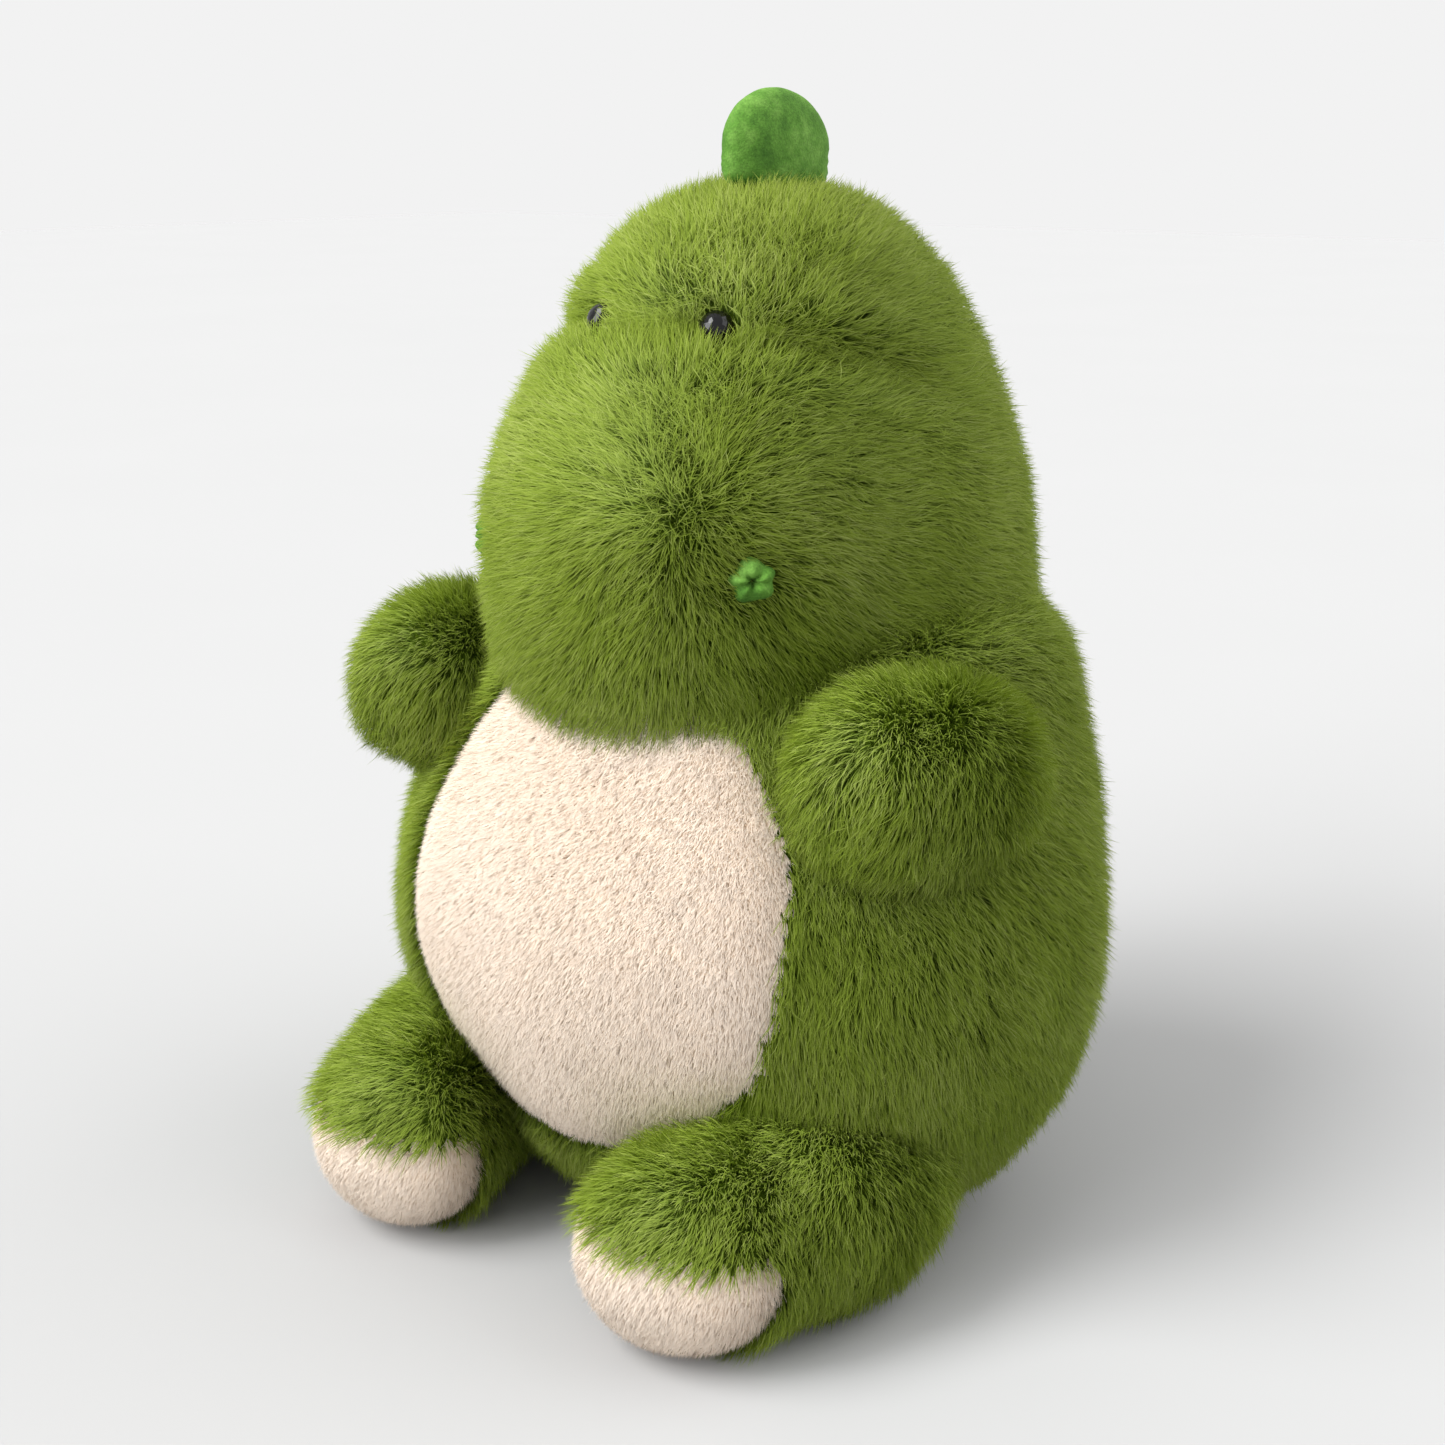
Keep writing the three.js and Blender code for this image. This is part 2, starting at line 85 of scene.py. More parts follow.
class Nodes:
    """A new material's node tree, with short calls to add and link nodes."""

    def __init__(self, name):
        self.material = bpy.data.materials.new(name)
        self.material.use_nodes = True
        self.tree = self.material.node_tree
        self.tree.nodes.clear()

    def add(self, kind, values=None, **settings):
        node = self.tree.nodes.new("ShaderNode" + kind)
        for key, value in settings.items():
            setattr(node, key, value)
        for key, value in (values or {}).items():
            self.set(node.inputs[key], value)
        return node

    def set(self, socket, value):
        if isinstance(value, bpy.types.NodeSocket):
            self.tree.links.new(value, socket)
        else:
            socket.default_value = value

    def ramp(self, factor, stops):
        """Colours between stops, each a (position, colour)."""
        node = self.add("ValToRGB", {"Fac": factor})
        elements = node.color_ramp.elements
        while len(elements) < len(stops):
            elements.new(0.5)
        for element, (position, colour) in zip(elements, stops):
            element.position = position
            element.color = colour
        return node.outputs["Color"]

    def mix(self, factor, a, b, mode="MIX"):
        node = self.add("Mix", data_type="RGBA", blend_type=mode)
        self.set(node.inputs["Factor"], factor)
        self.set(node.inputs[6], a)
        self.set(node.inputs[7], b)
        return node.outputs[2]

    def noise(self, scale, detail, roughness=0.6):
        """Cloudy noise, with scale waves to the metre."""
        values = {"Scale": scale, "Detail": detail, "Roughness": roughness}
        node = self.add("TexNoise", values)
        self.set(node.inputs["Vector"], self.add("TexCoord").outputs["Object"])
        return node.outputs["Fac"]

    def bump(self, height, distance, strength):
        node = self.add("Bump", {"Height": height, "Distance": distance, "Strength": strength})
        return node.outputs["Normal"]

    def finish(self, shader):
        output = self.add("OutputMaterial")
        self.tree.links.new(shader.outputs[0], output.inputs["Surface"])
        return self.material


def fibre_material(name, shades, tips, painted_root_shade, let_through):
    """Pile: u picks a strand's shade and v runs from its root to its tip. painted_root_shade: the
    colour that darkens the strands towards their roots, painted shade for the depth of the pile;
    let_through: the share of light that passes through a strand."""
    nodes = Nodes(name)
    place = nodes.add("UVMap", uv_map="OFBake").outputs["UV"]
    split = nodes.add("SeparateXYZ", {"Vector": place})
    shade = nodes.ramp(split.outputs["X"], shades)
    tip = nodes.ramp(split.outputs["X"], tips)
    along = nodes.ramp(split.outputs["Y"], [(0.0, grey(0)), (0.35, grey(0.25)), (1.0, grey(1))])
    # Painted shade: the colour is darkened towards the roots of the strands, where the pile shades
    # itself.
    light = nodes.ramp(split.outputs["Y"], [(0.0, painted_root_shade), (0.55, grey(1))])
    colour = nodes.mix(along, shade, tip)
    colour = nodes.mix(1.0, colour, light, "MULTIPLY")
    strand = nodes.add("BsdfPrincipled", {"Base Color": colour, "Roughness": 0.6,
                                          "Specular IOR Level": 0.25})
    through = nodes.add("BsdfTranslucent", {"Color": colour})
    mixed = nodes.add("MixShader", {"Fac": let_through})
    nodes.tree.links.new(strand.outputs[0], mixed.inputs[1])
    nodes.tree.links.new(through.outputs[0], mixed.inputs[2])
    return nodes.finish(mixed)


def backing_material(name, dark, light):
    """The knitted backing that shows between strands."""
    nodes = Nodes(name)
    colour = nodes.ramp(nodes.noise(260, 4), [(0.35, dark), (0.65, light)])
    normal = nodes.bump(nodes.noise(1800, 2), 0.0004, 0.6)
    return nodes.finish(nodes.add("BsdfPrincipled", {
        "Base Color": colour, "Roughness": 0.95, "Specular IOR Level": 0.1, "Normal": normal}))


def velvet_material(name, dark, middle, light):
    """Short velvet: patches where the nap lies over, over a fine grain."""
    nodes = Nodes(name)
    patches = nodes.ramp(nodes.noise(90, 5, 0.65), [(0.3, dark), (0.5, middle), (0.75, light)])
    grain = nodes.ramp(nodes.noise(1500, 2), [(0.3, grey(0.75)), (0.7, grey(1.15))])
    colour = nodes.mix(1.0, patches, grain, "MULTIPLY")
    normal = nodes.bump(nodes.noise(1500, 2), 0.0003, 0.8)
    return nodes.finish(nodes.add("BsdfPrincipled", {
        "Base Color": colour, "Roughness": 0.8, "Specular IOR Level": 0.15,
        "Sheen Weight": 0.6, "Sheen Roughness": 0.4, "Sheen Tint": light, "Normal": normal}))


def gloss_material(name, colour, roughness):
    """Moulded plastic, a little worn in places."""
    nodes = Nodes(name)
    worn = nodes.ramp(nodes.noise(400, 3), [(0.4, grey(roughness)), (0.8, grey(roughness * 2))])
    lighter = (*(channel * 1.3 for channel in colour[:3]), 1)
    tone = nodes.ramp(nodes.noise(60, 2), [(0.3, colour), (0.8, lighter)])
    return nodes.finish(nodes.add("BsdfPrincipled", {
        "Base Color": tone, "Roughness": worn, "Specular IOR Level": 0.35}))


GREEN_FUR = fibre_material(
    "green_fur",
    [(0.0, rgb(78, 104, 0)), (0.5, rgb(104, 131, 6)), (1.0, rgb(126, 149, 20))],
    [(0.0, rgb(132, 154, 38)), (0.5, rgb(156, 175, 66)), (1.0, rgb(196, 206, 122))],
    # The roots are darkened by this colour: painted shade deep in the pile.
    (0.42, 0.45, 0.26, 1), 0.4)
CREAM_FUR = fibre_material(
    "cream_fur",
    [(0.0, rgb(249, 231, 211)), (0.5, rgb(251, 235, 217)), (1.0, rgb(252, 238, 222))],
    [(0.0, rgb(250, 235, 218)), (0.5, rgb(251, 238, 223)), (1.0, rgb(253, 242, 230))],
    # The roots are darkened, very slightly, by this colour: painted shade deep in the pile.
    (1, 0.98, 0.94, 1), 0.3)
GREEN_BACKING = backing_material("green_backing", rgb(54, 72, 6), rgb(74, 96, 14))
CREAM_BACKING = backing_material("cream_backing", rgb(250, 233, 212), rgb(252, 238, 220))
VELVET = velvet_material("green_velvet", rgb(52, 92, 28), rgb(80, 124, 44), rgb(118, 160, 74))
EYE_BLACK = gloss_material("eye_plastic", rgb(5, 5, 6), 0.06)


# ---- Skins --------------------------------------------------------------------------------

INSET = 7.5 * MM  # from the fur's outside to the backing that it grows from
SHORT_INSET = 2.6 * MM  # the same in the short cream pile
FAR_DOWN = -2.0  # no direction is below it
FACING = 0.3  # least cosine between a ray and an outer face; the walls of cuts face less
FILLING_ROUNDS = 900  # of averaging, until a filled place is smooth
SEAM_ROUNDS = 6  # of averaging between long and short pile
SEAT_HEIGHT = 1.2 * MM  # of the lowest backing above the floor


def node_tree(nodes):
    """The CAD nodes' faces as one ray-casting tree, and the node that each face is of."""
    points, faces, owners = [], [], []
    for index, name in enumerate(nodes):
        data = bpy.data.objects[name].data
        first = len(points)
        points += [v.co.copy() for v in data.vertices]
        faces += [[first + i for i in p.vertices] for p in data.polygons]
        owners += [index] * len(data.polygons)
    return BVHTree.FromPolygons(points, faces), owners


def box_of(nodes):
    """The lowest and highest corners of several CAD nodes together."""
    corners = [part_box(name) for name in nodes]
    low = np.min([c[0] for c in corners], axis=0)
    high = np.max([c[1] for c in corners], axis=0)
    return low, high


def unit_ball(level):
    """The points, faces and edges of a ball about the origin, of evenly sized triangles."""
    shape = bmesh.new()
    bmesh.ops.create_icosphere(shape, subdivisions=level, radius=1.0)
    points = np.array([v.co for v in shape.verts])
    points /= np.linalg.norm(points, axis=1)[:, None]
    faces = np.array([[v.index for v in f.verts] for f in shape.faces])
    edges = np.array([[v.index for v in e.verts] for e in shape.edges])
    shape.free()
    return points, faces, edges


def averaged(values, edges, rounds, free=None):
    """Values at points, each replaced by its neighbours' mean, or only where free says so."""
    count = len(values)
    ends = np.concatenate([edges[:, 0], edges[:, 1]])
    others = np.concatenate([edges[:, 1], edges[:, 0]])
    share = np.bincount(ends, minlength=count)
    for _ in range(rounds):
        mean = np.bincount(ends, values[others], count) / share
        values = mean if free is None else np.where(free, mean, values)
    return values


def face_normals(points, faces):
    """Each face's normal, twice as long as its area."""
    first, second, third = (points[faces[:, corner]] for corner in range(3))
    return np.cross(second - first, third - first)


def point_normals(points, faces):
    """The smooth unit normal at each point."""
    across = face_normals(points, faces)
    normals = np.zeros_like(points)
    for corner in range(3):
        np.add.at(normals, faces[:, corner], across)
    return normals / np.linalg.norm(normals, axis=1)[:, None]


class Skin:
    """The smooth outside of a body: rays towards its middle find its panels, and the places that
    the CAD cuts open or hides are filled in from their surroundings.

    lining: the nodes inside the panels, which count only in directions lower than lined_below;
    level: how finely the surface is divided; is_short: which points bear the short pile;
    rounding: rounds of smoothing; folds: how deep each point is pressed in."""

    def __init__(self, body, panels, lining, level=5, lined_below=FAR_DOWN, is_short=None,
                 rounding=5, folds=None):
        self.body, self.panels = body, panels
        nodes = panels + lining
        low, high = box_of(nodes)
        self.centre = (low + high) / 2
        tree, owners = node_tree(nodes)
        self.ways, self.faces, self.edges = unit_ball(level)
        reach = np.zeros(len(self.ways))
        known = np.zeros(len(self.ways), bool)
        for i, way in enumerate(self.ways):
            way = Vector(way)
            hit, out, face, distance = tree.ray_cast(Vector(self.centre) + way * FAR, -way)
            if hit is None or distance > FAR or out.dot(way) < FACING:
                continue
            if nodes[owners[face]] in lining and way.z > lined_below:
                continue
            reach[i] = FAR - distance
            known[i] = True
        reach[~known] = reach[known].mean()
        reach = averaged(reach, self.edges, FILLING_ROUNDS, ~known)
        self.reach = averaged(reach, self.edges, rounding)
        outside = self.centre + self.ways * self.reach[:, None]
        self.short = is_short(outside) if is_short else np.zeros(len(outside), bool)
        self.normals = point_normals(outside, self.faces)
        blend = averaged(self.short.astype(float), self.edges, SEAM_ROUNDS)
        inset = INSET + (SHORT_INSET - INSET) * blend
        if folds:
            inset += folds(outside)
        self.points = outside - self.normals * inset[:, None]
        self.points[:, 2] = np.maximum(self.points[:, 2], SEAT_HEIGHT)
        self.normals = point_normals(self.points, self.faces)
        self.face_short = self.short[self.faces].sum(axis=1) >= 2

    def holds(self, points, depth):
        """Whether each point is deeper than depth inside this skin."""
        away = points - self.centre
        distance = np.linalg.norm(away, axis=1)
        lookup = self.lookup()
        inside = np.zeros(len(points), bool)
        near = np.nonzero(distance < self.reach.max())[0]
        for i in near:
            _, index, _ = lookup.find(away[i] / max(distance[i], 1e-9))
            inside[i] = distance[i] < self.reach[index] - depth
        return inside

    def lookup(self):
        """Finds the surface point that lies in a direction."""
        if not hasattr(self, "tree"):
            self.tree = KDTree(len(self.ways))
            for i, way in enumerate(self.ways):
                self.tree.insert(way, i)
            self.tree.balance()
        return self.tree


def new_object(name, points, faces):
    mesh = bpy.data.meshes.new(name)
    mesh.from_pydata(points.tolist(), [], faces.tolist())
    mesh.update()
    mesh.shade_smooth()
    made = bpy.data.objects.new(name, mesh)
    bpy.context.scene.collection.objects.link(made)
    return made


def part_of_skin(skin, name, chosen, material):
    """The chosen faces of a skin as a piece of backing cloth."""
    faces = skin.faces[chosen]
    used, place = np.unique(faces, return_inverse=True)
    made = new_object(name, skin.points[used], place.reshape(faces.shape))
    made.data.materials.append(material)
    return made


# ---- Pile ---------------------------------------------------------------------------------

STRANDS_PER_PIECE = 39000  # keeps a piece's mesh at a size that other programs open easily
STOPS = (0.0, 0.36, 0.72, 1.0)  # where a strand's pairs of points and its tip are, along it
TAPER = (0.9, 1.0, 0.7)  # its width at each pair
BURIED = 14 * MM  # pile this deep inside a neighbouring body is left out
LOWEST_TIP = 0.3 * MM

# material and slot of the record; density: strands on a square millimetre; length and width of a
# strand; turn: how far, in degrees, its flat side may face away from the skin's normal; unrest:
# how much the lie of the pile changes from place to place.
Pile = namedtuple("Pile", "material slot density length width turn unrest")
LONG_PILE = Pile(GREEN_FUR, "green_pile", 2.8, 10 * MM, 0.26 * MM, 60, 1.0)
SHORT_PILE = Pile(CREAM_FUR, "cream_pile", 6.5, 3.8 * MM, 0.2 * MM, 25, 0.2)


def unit(vectors):
    return vectors / np.maximum(np.linalg.norm(vectors, axis=-1, keepdims=True), 1e-12)


def turned(vectors, axes, angles):
    """Each vector turned about its own unit axis."""
    cosine, sine = np.cos(angles)[:, None], np.sin(angles)[:, None]
    along = (axes * vectors).sum(axis=1, keepdims=True)
    return vectors * cosine + np.cross(axes, vectors) * sine + axes * along * (1 - cosine)


def scatter(skin, chosen, density):
    """Points spread evenly over the chosen faces of a skin, with the normals there."""
    faces = skin.faces[chosen]
    corners = skin.points[faces]
    areas = np.linalg.norm(face_normals(skin.points, faces), axis=1) / 2
    count = int(areas.sum() / MM ** 2 * density)
    picks = rng.choice(len(faces), count, p=areas / areas.sum())
    a, b = rng.random((2, count))
    over = a + b > 1
    a[over], b[over] = 1 - a[over], 1 - b[over]
    weights = np.stack([1 - a - b, a, b], axis=1)[:, :, None]
    points = (corners[picks] * weights).sum(axis=1)
    normals = unit((skin.normals[faces[picks]] * weights).sum(axis=1))
    return points, normals


def waves(points, size, seed):
    """A smooth random vector at each point, changing over about the given size."""
    local = np.random.default_rng(seed)
    total = np.zeros_like(points)
    for _ in range(7):
        pull = unit(local.normal(size=(1, 3)))[0] / size * local.uniform(0.6, 1.4)
        phase = local.uniform(0, 2 * math.pi, 3)
        total += np.sin(points @ pull[:, None] * 2 * math.pi + phase)
    return total / 4


def grow(skin, name, chosen, pile):
    """Pile over the chosen faces of a skin, in pieces that ride on its body."""
    roots, normals = scatter(skin, chosen, pile.density)
    kept = standing(skin, roots, normals)
    roots, normals = roots[kept], normals[kept]
    count = len(roots)
    flow = waves(roots, 22 * MM, 3) * 0.35 + waves(roots, 7 * MM, 5) * 0.2
    flow = combed(skin, roots) + flow * pile.unrest + rng.normal(0, 0.35, flow.shape)
    bends = unit(flow - normals * (flow * normals).sum(axis=1, keepdims=True))
    lengths = pile.length * rng.normal(1, 0.12, count).clip(0.6, 1.35) * closeness(roots, skin.body)
    lean = np.radians(rng.normal(16, 9, count) + 10 * pile.unrest * waves(roots, 30 * MM, 8)[:, 0])
    curl = np.radians(rng.normal(44, 12, count))
    line = [roots]
    for low, high in zip(STOPS, STOPS[1:]):
        angle = lean + curl * (low + high) / 2
        way = normals * np.cos(angle)[:, None] + bends * np.sin(angle)[:, None]
        line.append(line[-1] + way * (lengths * (high - low))[:, None])
    gather(roots, line)
    flat = unit(np.cross(bends, normals))
    turns = np.radians(rng.uniform(-pile.turn, pile.turn, count))
    side = turned(flat, unit(line[-1] - line[0]), turns)
    points = []
    for spot, share in zip(line, TAPER):
        half = pile.width / 2 * share
        points += [spot - side * half, spot + side * half]
    points.append(line[-1])
    points = np.stack(points, axis=1)
    points[:, :, 2] = np.maximum(points[:, :, 2], LOWEST_TIP)
    shading = unit(normals * 0.85 + bends * 0.25 + np.cross(side, bends) * 0.2)
    shades = 0.5 + rng.normal(0, 0.15, count) + waves(roots, 34 * MM, 12)[:, 0] * 0.12
    shades = shades.clip(0.02, 0.98)
    around = np.arctan2(roots[:, 1] - skin.centre[1], roots[:, 0] - skin.centre[0])
    order = np.argsort(around)
    pieces = math.ceil(count / STRANDS_PER_PIECE)
    for number, rows in enumerate(np.array_split(order, pieces), 1):
        made = ribbons(f"{name}_{number}", points[rows], shading[rows], shades[rows])
        made.data.materials.append(pile.material)
        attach(made, skin.body)


def gather(roots, line):
    """Draws neighbouring strands together into tufts, more towards their tips. line: the points
    of all strands at each stop, which are moved."""
    count = len(roots)
    leaders = rng.choice(count, max(1, count // 6), replace=False)
    tree = KDTree(len(leaders))
    for i, leader in enumerate(leaders):
        tree.insert(roots[leader], i)
    tree.balance()
    nearest = np.array([tree.find(root)[1] for root in roots])
    lead = leaders[nearest]
    pull = rng.uniform(0.0, 0.28, count)
    tips = [spot.copy() for spot in line]
    for spot, tip, along in zip(line, tips, STOPS):
        share = (pull * along ** 1.5)[:, None]
        spot += (tip[lead] - tip) * share


def ribbons(name, points, shading, shades):
    """One mesh of strands, seven points each: three pairs from the root up, and the tip."""
    count = len(points)
    pattern = np.array([0, 1, 3, 2, 2, 3, 5, 4, 4, 5, 6])
    corners = (np.arange(count)[:, None] * 7 + pattern).ravel()
    sizes = np.tile([4, 4, 3], count)
    starts = np.concatenate([[0], np.cumsum(sizes)[:-1]])
    mesh = bpy.data.meshes.new(name)
    mesh.vertices.add(count * 7)
    mesh.loops.add(len(corners))
    mesh.polygons.add(len(sizes))
    mesh.vertices.foreach_set("co", points.astype(np.float32).ravel())
    mesh.loops.foreach_set("vertex_index", corners.astype(np.int32))
    mesh.polygons.foreach_set("loop_start", starts.astype(np.int32))
    mesh.update(calc_edges=True)
    heights = np.repeat(STOPS, [2, 2, 2, 1])
    sides = np.array([-1, 1, -1, 1, -1, 1, 0]) * 0.004
    u = (shades[:, None] + sides)[:, pattern]
    v = np.broadcast_to(heights[pattern] * 0.98 + 0.01, u.shape)
    layer = mesh.uv_layers.new(name="OFBake")
    layer.data.foreach_set("uv", np.stack([u, v], axis=2).astype(np.float32).ravel())
    mesh.shade_smooth()
    mesh.normals_split_custom_set_from_vertices(np.repeat(shading, 7, axis=0).tolist())
    made = bpy.data.objects.new(name, mesh)
    bpy.context.scene.collection.objects.link(made)
    return made


# ---- The toy's fabric ---------------------------------------------------------------------

BELLY_HEIGHT, BELLY_RISE, BELLY_DROP = 100 * MM, 76 * MM, 62 * MM  # as the CAD cuts it
NECK_HEIGHT = 176 * MM  # where head and shoulders meet
# How far the stuffing swells past the CAD's plain lobes.
NECK_FULLNESS, CHIN_FULLNESS, HAND_FULLNESS, TOE_FULLNESS = 5 * MM, 8 * MM, 7 * MM, 4.5 * MM
CHIN_TOP = 172 * MM
CREASE_RISE, CREASE_HALF_WIDTH, CREASE_DEPTH = 9 * MM, 3.5 * MM, 4.0 * MM
BROW_HALF_WIDTH, BROW_DEPTH, BROW_LENGTH = 5.5 * MM, 3.6 * MM, 34 * MM
BROW_SLOPE = 0.4  # how fast the fold runs down towards the back
EYE_SOCKET = 9 * MM  # about an eye, where the fold is left to the parting in the pile
EYES = ["left_eye", "right_eye"]
NOSTRILS = ["left_nostril", "right_nostril"]


def frame_joint(name):
    """Where a joint's axis is, in the frame."""
    return next(np.array(joint["pos_m"]) for joint in frame["joints"] if joint["name"] == name)


def middle(node):
    low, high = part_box(node)
    return np.array((low + high) / 2)


def on_belly(points):
    """The belly panel: an egg, seen from the front, on the front half."""
    _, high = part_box("belly_panel")
    across = points[:, 0] / high.x
    up = points[:, 2] - BELLY_HEIGHT
    up = up / np.where(up > 0, BELLY_RISE, BELLY_DROP)
    return (across ** 2 + up ** 2 < 1) & (points[:, 1] < high.y)


def on_sole(side):
    """A foot's cream panel: below the toe seam and in front of the heel seam, which lie a little
    further up and back than on the CAD's plain foot."""
    _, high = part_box(f"{side}_sole")
    toe_seam, heel_seam = high.z + 2 * MM, high.y + 9 * MM
    return lambda points: (points[:, 2] < toe_seam) & (points[:, 1] < heel_seam)


def fold(distance, half_width, depth):
    """Depth of a fold at a distance from its line, with the stuffing pushed up on either side."""
    near = np.exp(-(distance / half_width) ** 2)
    beside = np.exp(-((np.abs(distance) - 2.2 * half_width) / half_width) ** 2)
    return depth * (near - 0.4 * beside)


def fading(values, end, width):
    """1 below end, 0 above it, smooth over width."""
    return 1 / (1 + np.exp(((values - end) / width).clip(-30, 30)))


def neck_filling(points):
    """Fills the hollow where the head rests on the shoulders."""
    return -NECK_FULLNESS * np.exp(-((points[:, 2] - NECK_HEIGHT) / (15 * MM)) ** 2)


def crease_above(panel, points):
    """The crease that runs round a panel a little above its lowest point."""
    low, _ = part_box(panel)
    return fold(points[:, 2] - low.z - CREASE_RISE, CREASE_HALF_WIDTH, CREASE_DEPTH)


def head_folds(points):
    """The fold between brow and snout that the eyes sit in, the one above the chin, the full
    chin under it and the nape, filled out to meet the shoulders."""
    back, height = points[:, 1], points[:, 2]
    eye = middle("left_eye")
    line = eye[2] - BROW_SLOPE * (back - eye[1]).clip(-10 * MM, FAR)
    brow = fold(height - line, BROW_HALF_WIDTH, BROW_DEPTH)
    brow = brow * fading(back, eye[1] + BROW_LENGTH, 8 * MM)
    for node in EYES:
        near = np.linalg.norm(points - middle(node), axis=1)
        brow = brow * (1 - np.exp(-(near / EYE_SOCKET) ** 2))
    _, jaw_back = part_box("jaw_panel")
    crease = crease_above("jaw_panel", points) * fading(back, jaw_back.y, 6 * MM)
    in_front = fading(back, -18 * MM, 9 * MM)
    chin = CHIN_FULLNESS * fading(height, CHIN_TOP, 9 * MM) * in_front
    return brow + crease - chin + neck_filling(points) * (1 - in_front)


def arm_folds(side):
    """The crease along the underside of an arm, and the full hand, which turns inwards."""
    panel = f"{side}_arm_lower_panel"
    hand = middle(panel)
    inwards = unit(np.array([-0.7 if side == "left" else 0.7, -0.7, -0.15]))

    def relief(points):
        towards = ((points - hand) @ inwards / (30 * MM)).clip(0, 1)
        return crease_above(panel, points) - HAND_FULLNESS * towards

    return relief


def foot_fullness(side):
    """The padding of the toes, which bulges past the CAD's round foot."""
    _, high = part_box(f"{side}_sole")
    return lambda points: -TOE_FULLNESS * fading(points[:, 1], high.y + 6 * MM, 6 * MM)


TORSO_PANELS = ["belly_panel", "body_left_panel", "body_right_panel", "base_panel"]
SKINS = [
    Skin("torso", TORSO_PANELS, [], level=6, is_short=on_belly, rounding=40, folds=neck_filling),
    Skin("head", ["head_left_panel", "head_right_panel", "jaw_panel"], ["head_stuffing"], level=6,
         lined_below=-0.3, folds=head_folds, rounding=40),
    Skin("tail", ["tail_cover"], ["tail_stuffing"], lined_below=1.0, rounding=20),
]
for side in ("left", "right"):
    SKINS.append(Skin(f"{side}_arm", [f"{side}_arm_upper_panel", f"{side}_arm_lower_panel"],
                      [f"{side}_arm_stuffing"], lined_below=1.0, folds=arm_folds(side), rounding=20))
    SKINS.append(Skin(f"{side}_leg", [f"{side}_leg_cover", f"{side}_sole"],
                      [f"{side}_leg_stuffing"], lined_below=1.0, is_short=on_sole(side), rounding=20,
                      folds=foot_fullness(side)))
HEAD = next(skin for skin in SKINS if skin.body == "head")

# Round an eye or a nostril, in millimetres from its middle: where the pile starts, where it starts
# to lengthen and where it has its whole length; and the share of its length that it starts with.
PARTINGS = [(node, 4.8, 4.8, 10, 0.62) for node in EYES]
PARTINGS += [(node, 5.4, 6.0, 13, 0.45) for node in NOSTRILS]


def closeness(roots, body):
    """How much of its length the pile keeps beside an eye or a nostril."""
    share = np.ones(len(roots))
    if body != "head":
        return share
    for node, _, short, full, least in PARTINGS:
        distance = np.linalg.norm(roots - middle(node), axis=1) / MM
        longer = ((distance - short) / (full - short)).clip(0, 1)
        share = np.minimum(share, least + (1 - least) * longer)
    return share


def standing(skin, roots, normals):
    """Which strands show: not those inside other bodies, on an eye or nostril, or under the seat."""
    kept = np.ones(len(roots), bool)
    for other in SKINS:
        if other is not skin:
            kept &= ~other.holds(roots, BURIED)
    if skin.body == "head":
        for node, bare, *_ in PARTINGS:
            kept &= np.linalg.norm(roots - middle(node), axis=1) > bare * MM
    under = (roots[:, 2] < 4 * MM) & (normals[:, 2] < -0.7)
    return kept & ~under


def combed(skin, roots):
    """Which way the pile was brushed: down the body, and out from a whorl on the snout."""
    flow = np.zeros_like(roots)
    flow[:, 2] = -1.0
    if skin.body == "head":
        low, high = box_of(skin.panels)
        whorl = np.array([0.3, -1.0, -0.05]) * (high - low) / 2 + skin.centre
        away = roots - whorl
        strength = (np.linalg.norm(away, axis=1, keepdims=True) / (25 * MM)).clip(0.15, 1)
        flow = flow * 0.45 + unit(away) * strength * 0.8
    if skin.body.endswith("arm") or skin.body.endswith("leg"):
        flow[:, 1] -= 0.9
    return flow


def dress(skin):
    """A body's backing and pile, green and cream, in place of its panels and stuffing."""
    greens = [node for node in skin.panels if node != "belly_panel" and not node.endswith("_sole")]
    creams = [node for node in skin.panels if node not in greens]
    long_pile = ~skin.face_short
    backing = part_of_skin(skin, f"{skin.body}_backing", long_pile, GREEN_BACKING)
    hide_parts(*greens, f"{skin.body}_stuffing")
    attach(backing, skin.body)
    grow(skin, f"{skin.body}_fur", long_pile, LONG_PILE)
    if creams:
        cream = part_of_skin(skin, f"{creams[0]}_backing", skin.face_short, CREAM_BACKING)
        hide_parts(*creams)
        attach(cream, skin.body)
        grow(skin, f"{creams[0]}_pile", skin.face_short, SHORT_PILE)


for skin in SKINS:
    dress(skin)

# ---- Spikes, eyes and nostrils ------------------------------------------------------------

SPIKE_FOOT = 16 * MM  # how far a spike's velvet goes on under the tips of the pile


def velvet_leaf(name):
    """A spike's cover: the CAD's leaf, with a straight foot that goes down into the pile."""
    skin = Skin(name, [name], [], rounding=6)
    inwards = unit(frame_joint(name + "_flop") - skin.centre)
    down = (skin.ways @ inwards).clip(0, 1)
    level = unit(skin.ways - inwards * down[:, None])
    rim = np.array([skin.reach[skin.lookup().find(way)[1]] for way in level])
    narrowing = np.sqrt(1 - down ** 4)
    foot = level * (rim * narrowing)[:, None] + inwards * (down ** 0.6 * SPIKE_FOOT)[:, None]
    leaf = skin.ways * skin.reach[:, None]
    skin.points = skin.centre + np.where(down[:, None] > 0, foot, leaf)
    every_face = np.ones(len(skin.faces), bool)
    cover = part_of_skin(skin, f"{name}_velvet", every_face, VELVET)
    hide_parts(name, f"{name}_stuffing")
    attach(cover, name)


for name in ("head_spike", "nape_spike", "upper_back_spike", "lower_back_spike"):
    velvet_leaf(name)

for node in EYES:
    bpy.data.objects[node].data.materials.clear()
    bpy.data.objects[node].data.materials.append(EYE_BLACK)


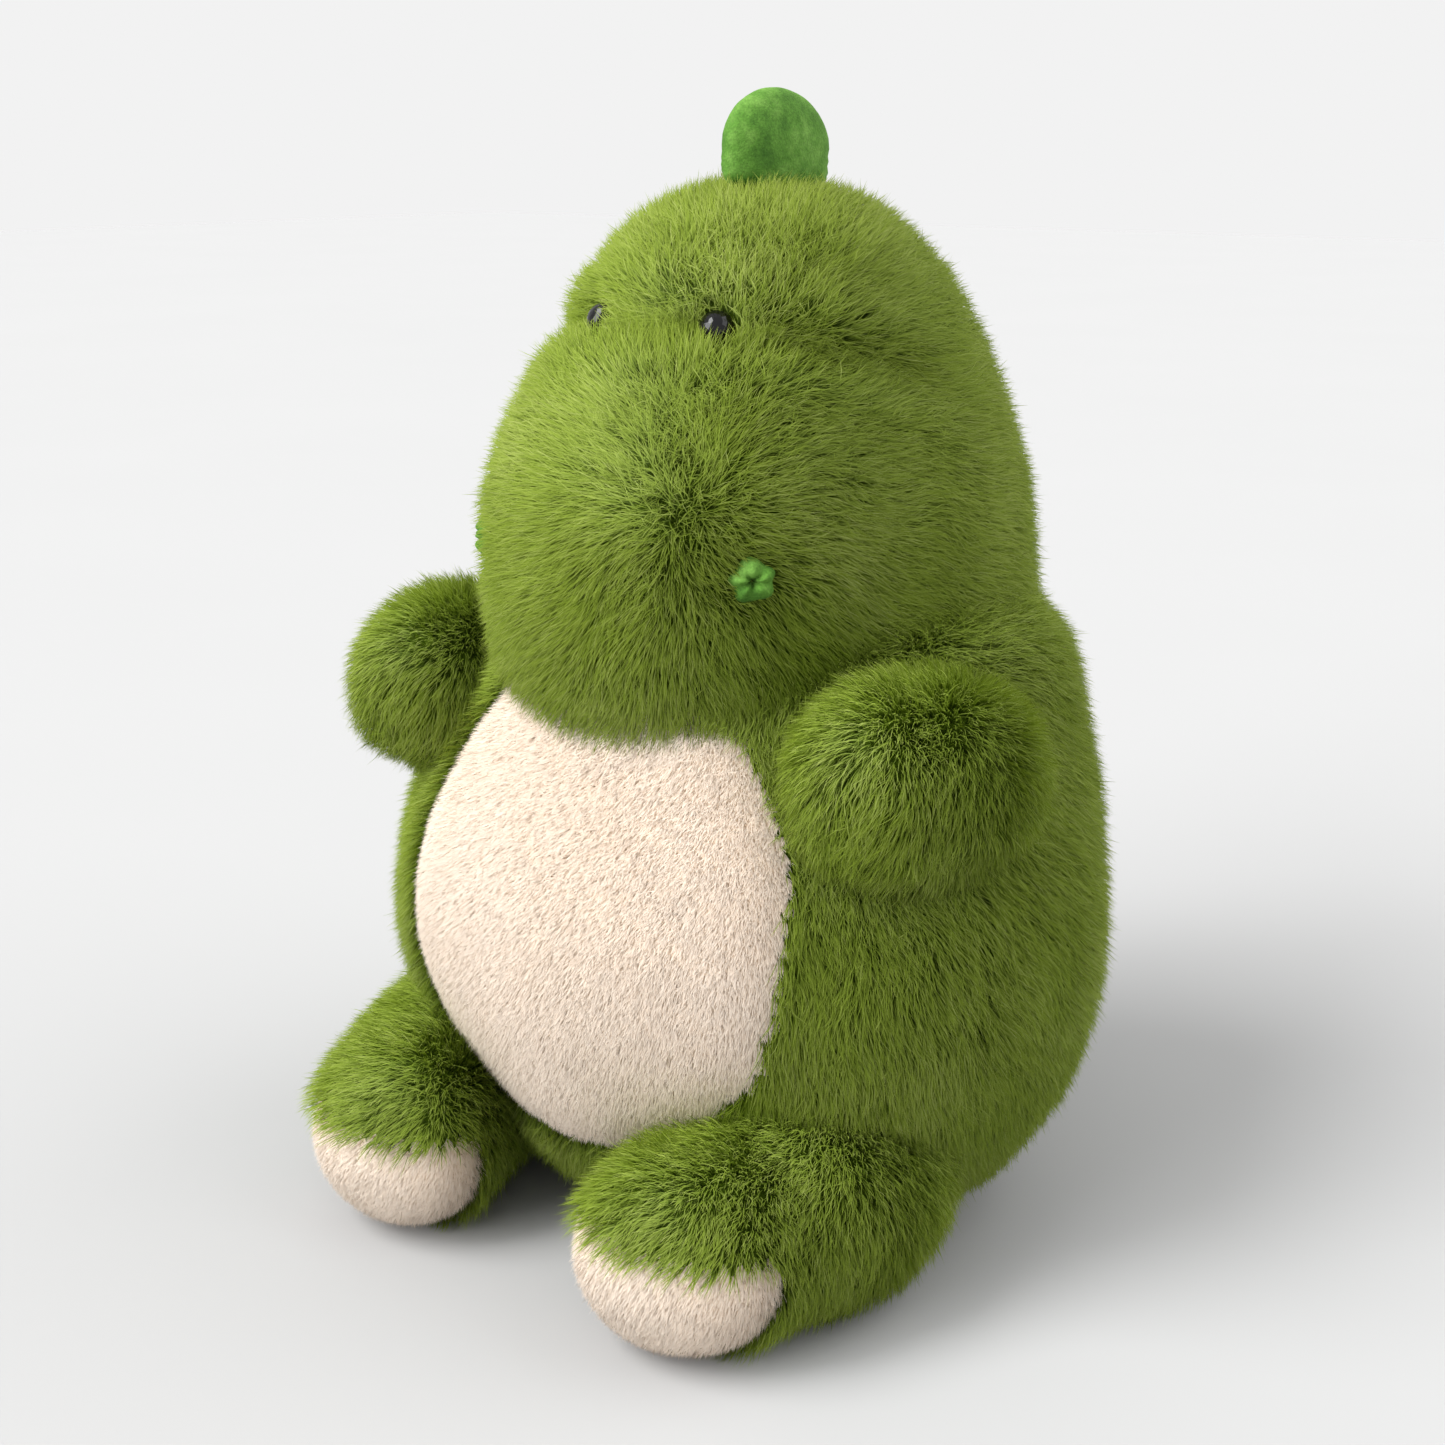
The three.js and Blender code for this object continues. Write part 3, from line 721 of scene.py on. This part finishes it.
def rosette(node, out):
    """A nostril: a disc of velvet gathered to its middle, with folds running out to its rim."""
    rings, spokes, folds = 14, 60, 5
    radius, rise = 5.8 * MM, 2.6 * MM
    across = unit(np.cross(out, [0.3, 0.2, 1.0]))
    up = np.cross(across, out)
    centre = middle(node) - out * 1.2 * MM
    points = []
    for ring in range(rings + 1):
        share = ring / rings
        dimple = 2.4 * MM * math.exp(-(share / 0.25) ** 2)
        hem = 1.5 * MM * max(0, share - 0.85) / 0.15
        for spoke in range(spokes):
            angle = spoke / spokes * 2 * math.pi
            crest = math.cos(folds * angle + 0.8 * math.sin(2 * angle + 1) + share)
            reach = radius * share * (1 + 0.1 * crest * share)
            height = rise * math.sin(math.pi * min(share, 0.98) ** 0.8) * (0.8 + 0.35 * crest)
            height -= dimple + hem
            spread = across * math.cos(angle) + up * math.sin(angle)
            points.append(centre + spread * reach + out * height)
    faces = []
    for first in range(0, rings * spokes, spokes):
        for i in range(spokes):
            beside = (i + 1) % spokes
            faces.append([first + i, first + spokes + i, first + spokes + beside, first + beside])
    made = new_object(node + "_rosette", np.array(points), np.array(faces))
    made.data.materials.append(VELVET)
    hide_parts(node)
    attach(made, "head")


for node in NOSTRILS:
    facing = HEAD.lookup().find(unit(middle(node) - HEAD.centre))[1]
    rosette(node, HEAD.normals[facing])


# ---- Floor, light and camera --------------------------------------------------------------

BACKGROUND = 0.888  # the level of the pale backdrop; floor and sky meet at it
FLOOR_GREY = 0.42
FLOOR_HALF_WIDTH = 6.0


def floor():
    mesh = bpy.data.meshes.new("floor")
    corners = [(-1, -1, 0), (1, -1, 0), (1, 1, 0), (-1, 1, 0)]
    mesh.from_pydata([Vector(corner) * FLOOR_HALF_WIDTH for corner in corners], [], [(0, 1, 2, 3)])
    made = bpy.data.objects.new("floor", mesh)
    bpy.context.scene.collection.objects.link(made)
    nodes = Nodes("floor")
    tones = [(0.3, grey(FLOOR_GREY)), (0.7, grey(FLOOR_GREY * 1.01))]
    colour = nodes.ramp(nodes.noise(3, 2), tones)
    mesh.materials.append(nodes.finish(nodes.add("BsdfPrincipled", {
        "Base Color": colour, "Roughness": 1.0, "Specular IOR Level": 0.0})))


floor()


def direction(azimuth, rise):
    """A unit vector. azimuth: degrees from straight in front towards the toy's left; rise:
    degrees above the floor."""
    turn, climb = math.radians(azimuth), math.radians(rise)
    level = math.cos(climb)
    return Vector((math.sin(turn) * level, -math.cos(turn) * level, math.sin(climb)))


def sun(name, azimuth, rise, irradiance, softness):
    """A soft distant light. irradiance: what it adds to the floor; softness: its width in the
    sky, in degrees."""
    data = bpy.data.lights.new(name, "SUN")
    data.energy = irradiance / math.sin(math.radians(rise))
    data.angle = math.radians(softness)
    made = bpy.data.objects.new(name, data)
    bpy.context.scene.collection.objects.link(made)
    made.rotation_euler = direction(azimuth, rise).to_track_quat("Z", "Y").to_euler()


SUNLIGHT = BACKGROUND * (1 / FLOOR_GREY - 1) * math.pi  # what brings the floor to the sky's level
sun("key", -34, 50, SUNLIGHT * 0.52, 32)
sun("front", -18, 24, SUNLIGHT * 0.28, 40)
sun("rim", 128, 40, SUNLIGHT * 0.2, 60)

world = bpy.data.worlds.new("studio")
world.use_nodes = True
world.node_tree.nodes["Background"].inputs["Color"].default_value = (1, 1, 1, 1)
world.node_tree.nodes["Background"].inputs["Strength"].default_value = BACKGROUND
bpy.context.scene.world = world
bpy.context.scene.view_settings.view_transform = "Standard"

CAMERA_DISTANCE = 0.5959
lens = bpy.data.cameras.new("camera")
lens.lens = 48.8
lens.sensor_width = 36
camera = bpy.data.objects.new("camera", lens)
bpy.context.scene.collection.objects.link(camera)
target = Vector((-0.0066, -0.0052, 0.1413))
back = direction(38, 16.6)
camera.location = target + back * CAMERA_DISTANCE
camera.rotation_euler = (-back).to_track_quat("-Z", "Y").to_euler()
bpy.context.scene.camera = camera
